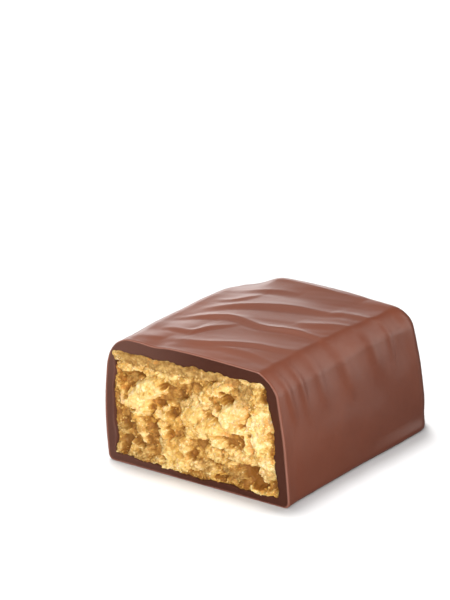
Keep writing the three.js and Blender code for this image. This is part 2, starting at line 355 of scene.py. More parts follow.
def grow_loop(bm, edges):
    """Extrudes a loop of edges, and returns its new vertices and the new loop."""
    grown = bmesh.ops.extrude_edge_only(bm, edges=edges)["geom"]
    verts = {item for item in grown if isinstance(item, bmesh.types.BMVert)}
    loop = [item for item in grown if isinstance(item, bmesh.types.BMEdge) and set(item.verts) <= verts]
    return verts, loop


# The coat's grid, and how far behind the cut its skin ends and the lip of the cut begins.
coat_cuts = (107, 129, 54)
skin_end = 0.16
# What each vertex holds in its inward layer: millimetres from the skin on the lip, and one of
# these on the skin, on the band of cut chocolate, with its share of the way in, and in the hollow.
on_skin = -1
on_band = 10
in_hollow = 11
# From the skin to the back of the hollow, each loop of edges: how far in, and how far behind the cut.
lip_loops = [(0, 0.1), (0.02, 0.03), (0.07, 0.0), (0.15, 0.01), (0.23, 0.03), (0.3, 0.05)]
band_shares = [(0.3, 0.06), (0.42, 0.04), (0.54, 0.05), (0.66, 0.03), (0.78, 0.05), (0.88, 0.04)]
band_shares += [(0.96, 0.08)]
hollow_depths = [0.2, 0.6, 1.4, 2.6, 5, 9, 15, 20, 25, 29.5]
loops = lip_loops + [(on_band + share, depth) for share, depth in band_shares]
loops += [(in_hollow, depth) for depth in hollow_depths]
# Under the roof the lip is finer and its painted highlight fades. A small burr rises from the skin's edge.
lip_zone = (0.14, 0.3)
fine_lip_zone = (14, 16.2)
fine_lip_share = 0.45
thinnest_band = 1.2
burr_height = 0.04
burr_reach = 0.25
highlight_reach = 0.1
highlight_share = 0.3

coat = bmesh.new()
inward = coat.verts.layers.float.new("inward")
behind = coat.verts.layers.float.new("behind")
lip = coat.verts.layers.float.new("lip")
cut = coat.verts.layers.float.new("cut")
bmesh.ops.create_cube(coat, size=1)
for vert in coat.verts:
    vert.co.x *= 2 * half_width
    vert.co.y = mix(skin_end, piece_length, vert.co.y + 0.5)
    vert.co.z = (vert.co.z + 0.5) * piece_height
for axis, cuts in enumerate(coat_cuts):
    divide(coat, axis, cuts)
front = [face for face in coat.faces if all(vert.co.y < skin_end + 0.001 for vert in face.verts)]
bmesh.ops.delete(coat, geom=front, context="FACES")
loop = [edge for edge in coat.edges if edge.is_boundary]
for vert in coat.verts:
    vert[inward] = on_skin
for reach, depth in loops:
    verts, loop = grow_loop(coat, loop)
    for vert in verts:
        vert[inward] = reach
        vert[behind] = depth
        # The lip layer marks where a painted highlight lightens the lip of the cut.
        vert[cut] = ease(reach, *lip_zone)
        vert[lip] = 1 - vert[cut]
bmesh.ops.holes_fill(coat, edges=loop, sides=0)


def knife_marks(x, z):
    """Fine scratches and smears that the knife left in the cut chocolate."""
    streak = noise.noise(Vector((x * 0.6, 0, z * 5.0)))
    smear = noise.noise(Vector((x * 1.4, 7.0, z * 1.4)))
    return 0.03 * streak + 0.04 * smear


for vert in coat.verts:
    x, y, z = vert.co
    high = ease(z, *fine_lip_zone)
    if vert[inward] == on_skin:
        vert.co = skin_point(x, y, z)
        burr = burr_height * bell((y - skin_end) / burr_reach)
        vert.co.x += math.copysign(burr, x) * ease(abs(x), 11, 13)
        vert.co.z += burr * ease(z, 14, 16)
        # A painted highlight also runs along the skin's edge at the cut.
        vert[lip] = highlight_share * bell((y - skin_end) / highlight_reach) * (1 - high)
        continue
    across = (x + half_width) / (2 * half_width)
    up = z / piece_height
    if vert[inward] == in_hollow:
        vert.co = hollow_point(across, vert[behind], up)
        continue
    skin = skin_point(x, 0, z)
    band = hollow_point(across, 0, up) - skin
    if vert[inward] >= on_band:
        place = skin + band * (vert[inward] - on_band)
        place.y = vert[behind] + knife_marks(place.x, place.z)
    else:
        fineness = mix(1, fine_lip_share, high)
        place = skin + band * fineness * vert[inward] / max(band.length, thinnest_band)
        place.y = vert[behind] * fineness
    vert.co = place

# The coat sits where its solid does, which centres it across the candy and starts at the cut.
millimetre = 0.001
coat_low, coat_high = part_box("chocolate_glaze")
own_middle = (max(vert.co.x for vert in coat.verts) + min(vert.co.x for vert in coat.verts)) / 2
to_frame = Vector(((coat_low.x + coat_high.x) / 2 - own_middle * millimetre, coat_low.y, 0))


def finish_mesh(bm, name):
    """Turns a mesh's faces outward, brings it from millimetres to its place, and makes its object."""
    bmesh.ops.recalc_face_normals(bm, faces=bm.faces)
    bmesh.ops.scale(bm, vec=(millimetre,) * 3, verts=bm.verts)
    bmesh.ops.translate(bm, vec=to_frame, verts=bm.verts)
    mesh = bpy.data.meshes.new(name)
    bm.to_mesh(mesh)
    bm.free()
    mesh.shade_smooth()
    piece = bpy.data.objects.new(name, mesh)
    bpy.context.scene.collection.objects.link(piece)
    return piece


coat_piece = finish_mesh(coat, "chocolate_coat")


class Socket:
    """A shader socket that takes part in sums: each sum adds a Math node."""

    def __init__(self, finish, output):
        self.finish = finish
        self.output = output

    def math(self, operation, left, right):
        return self.finish.node("ShaderNodeMath", {"operation": operation}, {0: left, 1: right})

    def __add__(self, other):
        return self.math("ADD", self, other)

    def __sub__(self, other):
        return self.math("SUBTRACT", self, other)

    def __mul__(self, other):
        return self.math("MULTIPLY", self, other)

    __radd__ = __add__
    __rmul__ = __mul__

    def __rsub__(self, other):
        return self.math("SUBTRACT", other, self)


class Finish:
    """A material under construction: one method adds any node, and the rest name common ones."""

    def __init__(self, name, **surface):
        self.material = bpy.data.materials.new(name)
        self.material.use_nodes = True
        self.tree = self.material.node_tree
        self.shader = self.tree.nodes["Principled BSDF"]
        for socket, value in surface.items():
            self.set(self.shader.inputs[socket.replace("_", " ")], value)
        self.place = self.node("ShaderNodeTexCoord", output="Object")

    def set(self, socket, value):
        if isinstance(value, Socket):
            self.tree.links.new(value.output, socket)
        else:
            socket.default_value = value

    def node(self, kind, settings=None, inputs=None, output=0):
        node = self.tree.nodes.new(kind)
        for name, value in (settings or {}).items():
            if name == "stops":
                ramp = node.color_ramp
                while len(ramp.elements) < len(value):
                    ramp.elements.new(0.5)
                for element, (position, colour) in zip(ramp.elements, value):
                    element.position = position
                    element.color = (*colour, 1)
            else:
                setattr(node, name, value)
        for name, value in (inputs or {}).items():
            self.set(node.inputs[name], value)
        return Socket(self, node.outputs[output])

    def noise(self, scale, detail=3, roughness=0.5, stretch=(1, 1, 1)):
        place = self.node("ShaderNodeMapping", inputs={"Vector": self.place, "Scale": stretch})
        inputs = {"Vector": place, "Scale": scale, "Detail": detail, "Roughness": roughness}
        return self.node("ShaderNodeTexNoise", inputs=inputs)

    def attribute(self, name):
        return self.node("ShaderNodeAttribute", {"attribute_name": name}, output="Fac")

    def coordinate(self, axis):
        return self.node("ShaderNodeSeparateXYZ", inputs={"Vector": self.place}, output=axis)

    def step(self, value, start, end):
        inputs = {"Value": value, "From Min": start, "From Max": end}
        return self.node("ShaderNodeMapRange", {"interpolation_type": "SMOOTHSTEP"}, inputs)

    def blend(self, share, first, second):
        colours = {6: first if isinstance(first, Socket) else (*first, 1)}
        colours[7] = second if isinstance(second, Socket) else (*second, 1)
        return self.node("ShaderNodeMix", {"data_type": "RGBA"}, {0: share, **colours}, output=2)

    def bump(self, height, distance, strength):
        inputs = {"Height": height, "Distance": distance, "Strength": strength}
        self.set(self.shader.inputs["Normal"], self.node("ShaderNodeBump", inputs=inputs))

    def colour(self, value):
        self.set(self.shader.inputs["Base Color"], value)

    def roughness(self, value):
        self.set(self.shader.inputs["Roughness"], value)


# Milk chocolate: a satin skin, and a duller, darker face where it was cut.
skin_brown = (0.150, 0.042, 0.022)
skin_red = (0.170, 0.044, 0.020)
# The skin's colour where shade is painted on it.
skin_in_painted_shade = (0.070, 0.018, 0.010)
cut_brown = (0.062, 0.014, 0.006)
cut_painted_sheen = (0.118, 0.047, 0.033)
lip_highlight_brown = (0.30, 0.135, 0.100)

chocolate = Finish("milk_chocolate", IOR=1.45, Specular_Tint=(1.0, 0.84, 0.74, 1))
cloudy = chocolate.noise(90, detail=4)
speckle = chocolate.noise(1500, detail=2)
grain = chocolate.noise(700, detail=5, roughness=0.6)
at_cut = chocolate.attribute("cut")
lip_highlight_share = chocolate.attribute("lip")
at_x, at_y, at_z = (chocolate.coordinate(axis) for axis in "XYZ")
skin = chocolate.blend(chocolate.step(cloudy, 0.35, 0.65), skin_brown, skin_red)
# Painted shade darkens it low down and at the back; a painted sheen pales its cut face high on the left.
low = chocolate.step(at_z, 0.013, 0.001) * (0.75 + 0.25 * chocolate.step(at_y, -0.016, -0.004))
painted_shade_share = 0.35 * low + 0.22 * chocolate.step(at_y, -0.014, 0.016)
skin = chocolate.blend(painted_shade_share, skin, skin_in_painted_shade)
# A painted sheen pales the cut face high up on the left.
cut_sheen_share = chocolate.step(at_x, 0.004, -0.012) * (0.6 + 0.4 * chocolate.step(at_z, 0.008, 0.014))
sliced = chocolate.blend(cut_sheen_share, cut_brown, cut_painted_sheen)
body = chocolate.blend(at_cut, skin, sliced)
# A painted highlight lightens the lip of the cut.
chocolate.colour(chocolate.blend(lip_highlight_share * 0.6, body, lip_highlight_brown))
chocolate.roughness(0.32 + 0.06 * cloudy + 0.26 * at_cut + 0.04 * speckle)
chocolate.bump(grain + 0.4 * speckle, 0.00002, 0.3)
coat_piece.data.materials.append(chocolate.material)
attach(coat_piece, "root")
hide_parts("chocolate_glaze")

# ---------------------------------------------------------------------------------------------
# The halva core: ground sunflower seed and sugar pulled into fibres and pressed. It tears at the
# cut rather than slicing, so its face is a crumbly landscape of mounds, hollows and flakes.
# ---------------------------------------------------------------------------------------------

# Where no lump reaches, the torn face lies this deep, with this tone and dullness; that darker tone is
# partly painted shade.
floor_level = -1.0
floor_tone = -0.4
floor_dullness = 0.3
# Lumps of the torn face: middle (x, z), half width and height, turn in degrees, level in front of
# the cut, tone from -1 for brown to 1 for cream, and how dull and sandy it is. Tones are lower in the
# hollows, partly as painted shade.
lumps = [
    # mostly down in the hollows
    (-8.9, 11.8, 1.7, 0.7, 20, -0.7, -0.35, 0.5),
    (-7.8, 5.9, 1.5, 0.9, 0, -0.6, -0.25, 0.0),
    (-11.8, 7.1, 0.7, 0.8, 0, -0.6, -0.4, 0.2),
    (-7.3, 5.1, 1.0, 0.4, 0, -0.4, 0.1, 0.2),
    (-11.3, 4.4, 0.9, 0.7, 0, -0.4, 0.1, 0.7),
    (1.3, 9.2, 0.6, 1.0, 0, -0.6, -0.3, 0.3),
    (-1.5, 6.2, 0.7, 0.8, 0, -0.4, 0.6, 0.2),
    # mostly about even with the cut
    (-4.5, 7.6, 1.9, 1.6, 0, -0.25, 0.2, 0.1),
    (-5.4, 7.4, 0.8, 0.6, 0, 0.0, 0.6, 0.0),
    (-6.0, 7.4, 0.7, 0.55, 0, 0.05, 0.95, 0.0),
    (-3.4, 12.3, 0.9, 0.7, 0, 0.0, 0.35, 0.3),
    (-11.4, 9.8, 0.6, 1.5, 0, 0.0, 0.5, 0.0),
    (-10.6, 12.8, 1.2, 0.6, 0, 0.1, 0.65, 0.2),
    (-9.1, 13.0, 0.9, 0.4, 0, 0.1, 0.6, 0.3),
    (-2.2, 10.0, 0.8, 1.0, 0, -0.3, 0.1, 0.8),
    (-0.8, 10.3, 0.7, 0.9, 0, -0.2, 0.3, 0.7),
    (-8.2, 4.1, 0.4, 0.9, 30, -0.1, 0.5, 0.3),
    (-9.7, 2.4, 0.8, 0.7, 0, 0.05, 0.5, 0.4),
    (-11.6, 1.8, 0.8, 0.7, 0, -0.1, 0.0, 0.7),
    (-10.0, 1.5, 0.9, 0.5, 0, 0.0, 0.2, 0.8),
    (-8.0, 2.4, 0.9, 0.6, 0, -0.1, 0.0, 0.6),
    (-8.8, 1.3, 0.8, 0.5, 0, 0.0, -0.1, 0.8),
    (-6.3, 1.3, 0.8, 0.6, 0, 0.0, 0.6, 0.4),
    (-5.3, 4.1, 0.7, 0.9, 0, -0.2, 0.2, 0.9),
    (-2.3, 4.6, 0.9, 0.8, 0, 0.0, 0.4, 0.3),
    (3.1, 12.8, 1.7, 0.8, 25, 0.1, 0.95, 0.1),
    (0.9, 11.3, 0.7, 0.8, 0, -0.1, 0.9, 0.1),
    (1.8, 10.3, 1.7, 0.5, 0, -0.15, 0.6, 0.5),
    (5.6, 12.7, 0.8, 0.6, 0, -0.1, 0.1, 0.4),
    (7.7, 13.0, 1.8, 1.8, 0, -0.1, 0.1, 0.8),
    (9.0, 13.5, 0.9, 1.2, 0, 0.1, 0.6, 0.3),
    (8.6, 12.3, 0.8, 0.6, 0, 0.2, 0.8, 0.2),
    (7.8, 15.0, 1.8, 0.6, 0, 0.0, 0.6, 0.6),
    (2.2, 6.8, 1.0, 0.8, 0, -0.1, 0.5, 0.1),
    (7.0, 6.5, 0.8, 1.2, 30, -0.2, 0.7, 0.2),
    (6.2, 4.7, 2.6, 0.6, -5, 0.0, 0.55, 0.5),
    (2.2, 4.6, 1.1, 0.7, 0, 0.0, 0.8, 0.3),
    (8.7, 5.0, 1.0, 0.8, 0, 0.1, 0.6, 0.3),
    (0.0, 2.2, 1.1, 0.6, 0, 0.0, 0.45, 0.6),
    (2.8, 1.6, 1.0, 0.6, 0, 0.0, 0.4, 0.1),
    (1.1, 2.1, 1.1, 0.8, 0, -0.2, 0.0, 0.7),
    (5.7, 2.6, 1.9, 0.9, 0, -0.3, -0.2, 0.7),
    (4.7, 1.3, 0.8, 0.5, 0, -0.1, 0.0, 0.3),
    (9.2, 1.2, 1.3, 0.6, -10, 0.1, 0.95, 0.1),
    (10.4, 3.8, 1.1, 1.1, 30, 0.0, 0.5, 0.8),
    (0.3, 6.3, 1.4, 0.6, 0, -0.1, 0.7, 0.2),
    (-4.5, 0.8, 1.7, 0.5, 0, 0.0, 0.75, 0.3),
    # mostly proud of it
    (-7.2, 10.6, 2.4, 1.1, 30, 0.35, 0.9, 0.0),
    (-9.2, 8.4, 1.8, 1.2, -10, 0.45, 0.95, 0.0),
    (-9.0, 6.6, 0.7, 0.7, 0, 0.2, 0.3, 0.1),
    (-6.9, 12.9, 1.2, 0.5, 20, 0.1, 0.6, 0.2),
    (-4.1, 12.9, 1.4, 0.7, 0, 0.0, 0.7, 0.2),
    (-3.3, 2.9, 2.1, 1.7, 0, 0.15, 0.58, 0.1),
    (-1.8, 3.5, 0.7, 1.2, 15, 0.2, 0.85, 0.1),
    (-0.7, 8.2, 1.5, 1.4, 0, 0.4, 0.6, 0.2),
    (1.5, 7.6, 2.3, 0.9, 0, 0.4, 0.72, 0.1),
    (0.1, 9.3, 0.8, 0.7, 0, 0.2, 0.6, 0.2),
    (3.1, 9.7, 0.7, 0.6, 0, 0.1, 0.9, 0.2),
    (5.9, 9.7, 2.3, 1.6, 10, 0.5, 0.9, 0.0),
    (4.5, 9.2, 1.0, 1.1, 0, 0.6, 1.1, 0.0),
    (5.5, 8.6, 1.9, 0.4, 0, 0.5, 0.85, 0.1),
    (9.7, 9.9, 1.9, 2.0, 0, 0.75, 1.0, 0.0),
    (9.3, 7.7, 1.1, 1.1, 0, 0.65, 1.2, 0.1),
    (10.1, 5.9, 1.5, 1.5, 0, 0.3, 0.9, 0.2),
    # smaller ones between and on top of them
    (-5.4, 12.3, 0.7, 0.5, 0, 0.0, 0.6, 0.2),
    (-7.4, 11.7, 0.6, 0.4, 0, 0.0, 0.6, 0.2),
    (-1.8, 13.6, 0.9, 0.5, 0, 0.1, 0.5, 0.3),
    (0.4, 13.4, 0.8, 0.5, 0, 0.0, 0.2, 0.4),
    (2.9, 14.2, 0.7, 0.4, 0, 0.1, 0.7, 0.4),
    (1.4, 12.3, 0.5, 0.7, 0, 0.0, 0.4, 0.2),
    (3.9, 11.3, 0.5, 0.4, 0, 0.0, 0.3, 0.2),
    (-11.2, 8.8, 0.5, 1.0, 0, 0.2, 0.95, 0.1),
    (-8.6, 5.0, 0.6, 0.4, 0, 0.0, 0.45, 0.4),
    (-5.2, 5.1, 0.6, 0.6, 0, 0.05, 0.6, 0.2),
    (-5.1, 6.3, 0.7, 0.5, 0, 0.05, 0.8, 0.1),
    (-1.1, 6.9, 0.6, 0.9, 0, 0.05, 0.85, 0.1),
    (4.9, 5.3, 1.0, 0.5, 0, 0.1, 0.85, 0.2),
    (2.9, 5.9, 1.0, 0.45, 0, 0.1, 0.85, 0.2),
    (8.1, 10.0, 0.4, 0.7, 0, 0.4, 0.9, 0.0),
    (11.2, 11.4, 0.5, 0.9, 0, 0.1, 0.8, 0.2),
    (10.1, 12.3, 0.7, 0.6, 0, 0.1, 0.8, 0.3),
    (2.4, 4.0, 0.7, 0.5, 0, 0.1, 0.95, 0.2),
    (3.7, 3.9, 0.9, 0.4, 0, 0.1, 0.55, 0.3),
    (4.9, 3.6, 0.7, 0.4, 0, 0.0, 0.6, 0.4),
    (9.5, 6.0, 0.8, 0.6, 0, 0.4, 1.0, 0.1),
    (10.6, 0.9, 0.7, 0.5, 0, 0.0, 0.7, 0.1),
    (-2.5, 1.9, 1.3, 0.7, 0, 0.15, 0.65, 0.2),
    (2.5, 11.4, 0.7, 0.4, 0, 0.05, -0.1, 0.2),
    (-2.1, 12.8, 0.7, 0.5, 0, 0.0, 0.6, 0.2),
    (-4.8, 8.8, 0.6, 0.6, 0, 0.0, 0.75, 0.1),
    (-8.7, 5.8, 1.1, 0.4, 0, 0.0, 0.55, 0.3),
    (-8.7, 2.9, 0.5, 0.5, 0, 0.0, 0.35, 0.4),
]
# Pits and crevices: the same values, with the tone down to -1.5 where they are nearly black. Their
# dark tones are partly the halva's browner colour and partly painted shade.
pits = [
    (-11.5, 11.0, 0.5, 0.9, 10, -1.4, -0.9, 0.1),
    (-10.9, 9.8, 0.45, 0.5, 0, -1.0, -0.6, 0.1),
    (-8.8, 12.3, 1.0, 0.3, 5, -1.5, -0.8, 0.2),
    (-5.0, 11.5, 0.7, 0.35, 20, -1.0, -0.6, 0.1),
    (-5.3, 9.0, 0.8, 0.35, 10, -1.5, -0.9, 0.1),
    (-7.0, 8.1, 0.55, 0.35, 10, -1.0, -0.5, 0.1),
    (-10.5, 9.1, 0.5, 0.3, 0, 0.0, -0.2, 0.1),
    (-2.4, 10.8, 0.6, 0.5, 0, -1.8, -1.1, 0.2),
    (-3.8, 8.2, 0.5, 0.7, -15, -1.7, -0.9, 0.1),
    (-8.0, 6.5, 0.6, 0.3, 0, -0.8, -0.3, 0.2),
    (-6.5, 5.3, 0.5, 0.9, 0, -1.5, -0.8, 0.2),
    (-10.9, 5.2, 0.9, 0.8, 0, -1.5, -1.0, 0.4),
    (-10.8, 2.9, 0.7, 0.7, 0, -1.6, -1.2, 0.4),
    (-11.2, 1.8, 0.4, 0.8, 0, -1.4, -1.0, 0.3),
    (-8.9, 3.1, 0.9, 0.35, -20, -1.3, -0.9, 0.3),
    (-6.9, 2.9, 0.3, 0.7, 0, -1.2, -0.7, 0.3),
    (-5.3, 2.0, 0.5, 0.4, 0, -1.4, -0.8, 0.2),
    (-4.3, 5.3, 0.4, 0.8, 15, -1.5, -0.6, 0.0),
    (-0.9, 3.4, 0.6, 0.6, 0, -1.4, -1.0, 0.2),
    (3.6, 12.5, 0.5, 0.25, 0, -0.8, -0.6, 0.1),
    (4.3, 11.7, 0.75, 0.6, 0, -2.0, -1.2, 0.0),
    (3.1, 10.5, 0.5, 0.4, 0, -0.6, -0.3, 0.1),
    (9.9, 13.6, 0.5, 0.9, -10, -1.2, -0.9, 0.2),
    (5.8, 7.1, 1.0, 0.3, 0, -0.6, -0.2, 0.1),
    (11.2, 7.4, 0.4, 2.0, 0, -0.6, -0.7, 0.1),
    (-9.6, 7.6, 0.6, 0.25, 0, -0.8, -0.4, 0.1),
    (-3.0, 8.6, 0.35, 0.6, 0, -0.9, -0.4, 0.1),
    (6.5, 6.8, 0.4, 0.9, 5, -1.0, -0.7, 0.0),
    (8.3, 2.6, 1.9, 1.1, -35, -1.8, -1.5, 0.1),
    (3.2, 1.5, 0.9, 0.4, 0, -1.2, -0.8, 0.2),
    (11.2, 2.2, 0.5, 0.7, 0, -1.3, -1.0, 0.2),
    (7.7, 10.0, 0.18, 1.5, -25, -0.6, -0.3, 0.0),
    (6.7, 9.2, 0.6, 0.25, 20, -0.2, -0.5, 0.0),
    (7.3, 1.0, 0.6, 0.5, 0, -1.0, -0.9, 0.2),
    (5.6, 3.3, 0.9, 0.3, 0, -0.6, -0.4, 0.3),
]
# Under the roof the knife smeared the halva. Where a painted highlight makes that smear paler or, below 0,
# painted shade makes it darker: its middle, half width and height, and change of tone.
smear_light_and_shade = [
    (-8.9, 13.9, 1.2, 0.6, -0.4),
    (-12.0, 13.6, 1.0, 1.3, 0.9),
    (-7.3, 13.6, 0.9, 0.5, 0.7),
    (-4.7, 14.1, 0.9, 0.4, 0.35),
    (-1.2, 14.0, 1.4, 0.3, 0.4),
    (1.7, 14.9, 0.8, 0.4, 0.35),
]
# Streaks of toasted seed skin: middle, half width and height, turn.
toasted_streaks = [
    (-12.0, 12.4, 0.3, 0.7, 0),
    (-8.6, 7.7, 0.3, 0.5, 20),
    (-6.5, 8.7, 0.6, 0.5, 0),
    (-4.3, 4.6, 0.3, 0.6, 15),
    (-11.3, 10.3, 0.35, 0.7, 10),
    (0.6, 7.9, 0.25, 0.6, 0),
    (7.6, 11.2, 0.5, 0.6, 0),
    (7.0, 10.1, 1.2, 0.4, 35),
    (5.9, 9.1, 0.7, 0.3, 0),
    (4.1, 7.3, 0.8, 0.3, 0),
    (3.9, 5.1, 0.7, 0.3, 0),
    (7.9, 6.5, 0.5, 0.8, 40),
    (11.0, 9.8, 0.7, 1.8, 0),
    (11.4, 5.5, 0.35, 0.6, 0),
    (4.6, 13.8, 0.6, 0.25, 0),
    (11.5, 6.8, 0.35, 1.4, 0),
]


def within(x, z, middle_x, middle_z, reach_x, reach_z, turn):
    """How far a point lies out of an ellipse: 0 at its middle and 1 on its edge."""
    cos, sin = math.cos(math.radians(turn)), math.sin(math.radians(turn))
    dx, dz = x - middle_x, z - middle_z
    return math.hypot((dx * cos + dz * sin) / reach_x, (dz * cos - dx * sin) / reach_z)


# Broken flakes lie all over the face, in four sizes.
coarse_flake = 1.5
middling_flake = 0.75
fine_flake = 0.38
finest_flake = 0.2


def flakes(x, z, size, seed):
    """Flakes of one size, flat, tilted and at random heights: their relief, and a tone for each."""
    spot = Vector((x / size, z / size, seed))
    distances, points = noise.voronoi(spot)
    chance = noise.cell_vector(points[0] * 7.3 + Vector((seed, seed, seed)))
    tilt = (spot - points[0]).dot(2 * chance - Vector((1, 1, 1)))
    crack = 1 - ease(distances[1] - distances[0], 0, 0.14)
    return chance.x - 0.5 + 0.9 * tilt - 0.2 * crack, chance.y - 0.5


# Swirls bend all of this a little. Noise vectors follow the clock unless they are given a seed,
# and this one fixes them.
swirl_seed = 1795547637
noise.seed_set(swirl_seed)


def face_relief(x, z):
    """Of the torn face at a point: how far it stands out of the cut, its tone, dullness and toast."""
    bend = 0.3 * noise.noise_vector(Vector((x * 0.8, z * 0.8, 2.5)))
    bend += 0.22 * noise.noise_vector(Vector((x * 2.1, z * 2.1, 5.5)))
    bend += 0.1 * noise.noise_vector(Vector((x * 5.0, z * 5.0, 9.5)))
    bent_x, bent_z = x + bend.x, z + bend.y
    out, tone, dull, steep = floor_level, floor_tone, floor_dullness, 0.5
    for *form, level, lump_tone, lump_dull in lumps:
        away = within(bent_x, bent_z, *form)
        if away > 1.6:
            continue
        height = level - 0.25 * away * away - 1.2 * ease(away, 0.9, 1.5)
        if height > out:
            out, dull = height, lump_dull
            steep = ease(away, 0.85, 1.1)
            # Painted shade: a lump is darker on its flanks.
            tone = lump_tone - 0.3 * ease(away, 1.0, 1.4)
    # Pits pull the tone towards their own: partly the halva's browner colour, partly painted shade.
    for *form, level, pit_tone_and_shade, pit_dull in pits:
        away = within(bent_x, bent_z, *form)
        if away < 1.35:
            share = 1 - ease(away, 0.8, 1.3)
            out += (min(level, out) - out) * share
            steep += (1 - steep) * ease(share, 0, 0.3)
            tone += (pit_tone_and_shade - tone) * share
            dull += (pit_dull - dull) * share
    # The face can't be as deep along its left edge and its foot, nor anywhere as deep as its pits.
    left_limit = -0.5 - 2.5 * ease(x, -12.0, -11.2)
    foot_limit = -0.3 - 2.7 * ease(bent_z, 1.2, 2.2)
    out = max(out, 0.8 * out, left_limit, foot_limit)
    smear_edge = 13.45 + 0.03 * x + 0.5 * noise.noise(Vector((x * 0.5, 3.3, 7.7)))
    smear = ease(bent_z, smear_edge, smear_edge + 0.35) * (1 - ease(x, 4.0, 6.0))
    ridges = noise.noise(Vector((x * 0.8, z * 2.5, 4.5)))
    smear_lighting = sum(change * bell(within(x, z, *mark, 0)) for *mark, change in smear_light_and_shade)
    out = mix(out, 0.05 + 0.25 * ridges, smear)
    # The smear is painted paler on its ridges as a highlight, with painted highlights and shade in places.
    tone = mix(tone, -0.25 + 0.6 * ridges + smear_lighting, smear)
    dull = mix(dull, 0.75, smear)
    toast = 0
    for streak in toasted_streaks:
        toast = max(toast, 1 - ease(within(bent_x, bent_z, *streak), 0.5, 1.3))
    spot_x, spot_z = x + 0.5 * bend.y, z + 0.5 * bend.z
    coarse, coarse_tone = flakes(spot_x, spot_z * 1.2, coarse_flake, 3.0)
    middling, middling_tone = flakes(spot_x, spot_z, middling_flake, 11.0)
    fine, fine_tone = flakes(spot_x, spot_z, fine_flake, 23.0)
    finest, finest_tone = flakes(x, z, finest_flake, 37.0)
    sandy = ease(noise.noise(Vector((x * 0.7, z * 0.7, 14.5))) + 0.5 * dull, -0.1, 0.6)
    sandy *= 1 - 0.7 * smear
    plain = 1 - 0.6 * smear
    out += plain * (1 - 0.3 * steep) * 0.27 * coarse
    rough = (1 - 0.7 * smear) * (1 - 0.75 * steep)
    out += rough * (0.2 * middling + 0.05 * fine + sandy * (0.1 * fine + 0.08 * finest))
    tone += plain * (0.35 * coarse_tone + 0.6 * middling_tone)
    tone += plain * (0.4 + 0.6 * sandy) * (0.6 * fine_tone + 0.5 * finest_tone)
    return out, tone, dull, toast


# The core's grid across the cut, the loops behind it, and how deep behind the cut the relief runs.
core_grid = (259, 149)
core_depths = [0.15, 0.45, 1.0, 2.0, 4.0, 8.0, 14.0, 19.0, 24.0, 29.0]
relief_depth = 1.6
core_overlap = 0.05  # it reaches this far into the coat, so that no gap shows

core = bmesh.new()
tone = core.verts.layers.float.new("tone")
dull = core.verts.layers.float.new("dull")
toast = core.verts.layers.float.new("toast")
back = core.verts.layers.float.new("back")
bmesh.ops.create_grid(core, x_segments=core_grid[0], y_segments=core_grid[1], size=0.5)
loop = [edge for edge in core.edges if edge.is_boundary]
for depth in core_depths:
    verts, loop = grow_loop(core, loop)
    for vert in verts:
        vert[back] = depth
bmesh.ops.holes_fill(core, edges=loop, sides=0)
for vert in core.verts:
    place = hollow_point(vert.co.x + 0.5, vert[back], vert.co.y + 0.5, -core_overlap)
    if vert[back] < relief_depth:
        out, vert[tone], vert[dull], vert[toast] = face_relief(place.x, place.z)
        place.y -= out * (1 - ease(vert[back], 0, relief_depth))
    vert.co = place
core_piece = finish_mesh(core, "halva_core")

# Halva: cream on the lumps, golden between them and brown in the pits, where painted shade adds to its own
# browner colour, in a clear and a dull beige, with toasted streaks and pale sugary specks with painted
# glints.
tones = [
    (0.00, (0.27, 0.100, 0.012)),
    (0.25, (0.41, 0.180, 0.026)),
    (0.50, (0.62, 0.340, 0.070)),
    (0.75, (0.80, 0.550, 0.190)),
    (1.00, (0.91, 0.740, 0.400)),
]
dull_tones = [
    (0.00, (0.22, 0.105, 0.024)),
    (0.25, (0.35, 0.200, 0.056)),
    (0.50, (0.53, 0.335, 0.115)),
    (0.75, (0.73, 0.520, 0.225)),
    (1.00, (0.88, 0.720, 0.420)),
]
toasted = (0.66, 0.29, 0.06)
peach = (0.92, 0.60, 0.30)
sugar_and_glint_white = (0.98, 0.86, 0.62)

halva = Finish(
    "halva",
    Roughness=0.6,
    IOR=1.45,
    Specular_IOR_Level=0.3,
    Subsurface_Weight=0.3,
    Subsurface_Radius=(1.0, 0.6, 0.25),
    Subsurface_Scale=0.0005,
)
patches = halva.noise(420, detail=4, roughness=0.6)
grains = halva.noise(2600, detail=3, roughness=0.65)
flecks = halva.noise(1100, detail=3, roughness=0.6)
nuggets = halva.noise(1700, detail=2)
glints = halva.noise(3600, detail=1)
warmth = halva.noise(300, detail=3)
dullness = halva.attribute("dull")
shade = 0.355 + 0.42 * halva.attribute("tone") + 0.6 * (patches - 0.5) + 0.6 * (nuggets - 0.5)
shade = shade + (0.35 + 0.4 * dullness) * (grains - 0.5)
clear = halva.node("ShaderNodeValToRGB", {"stops": tones}, {"Fac": shade})
sandy = halva.node("ShaderNodeValToRGB", {"stops": dull_tones}, {"Fac": shade})
body = halva.blend(dullness, clear, sandy)
rosy = 0.55 * halva.step(warmth, 0.52, 0.66) * halva.step(shade, 0.5, 0.8)
body = halva.blend(rosy, body, peach)
toasting = halva.attribute("toast") * halva.step(patches, 0.35, 0.5)
toasting = toasting * halva.step(grains, 0.3, 0.6) + 0.6 * halva.step(flecks, 0.6, 0.7)
body = halva.blend(toasting * 0.8, body, toasted)
# Pale specks: the sugar's own colour, with painted glints.
sugar_and_glint_share = 0.5 * halva.step(glints, 0.62, 0.72) * halva.step(shade, 0.3, 0.6)
halva.colour(halva.blend(sugar_and_glint_share, body, sugar_and_glint_white))
halva.bump(grains + 0.6 * flecks, 0.00006, 0.7)
core_piece.data.materials.append(halva.material)
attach(core_piece, "root")
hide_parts("halva_filling")

# ---------------------------------------------------------------------------------------------
# Loose crumbs of halva that cling to the torn face, half of them along its rim. They are the
# same sugary seed paste, broken off by the knife.
# ---------------------------------------------------------------------------------------------

crumb_count = 420
crumb_sizes = (0.10, 0.24)
rim_share = 0.5
crumb_seat = 0.35  # the share of its radius by which a crumb's middle stands off the face
random.seed(7)

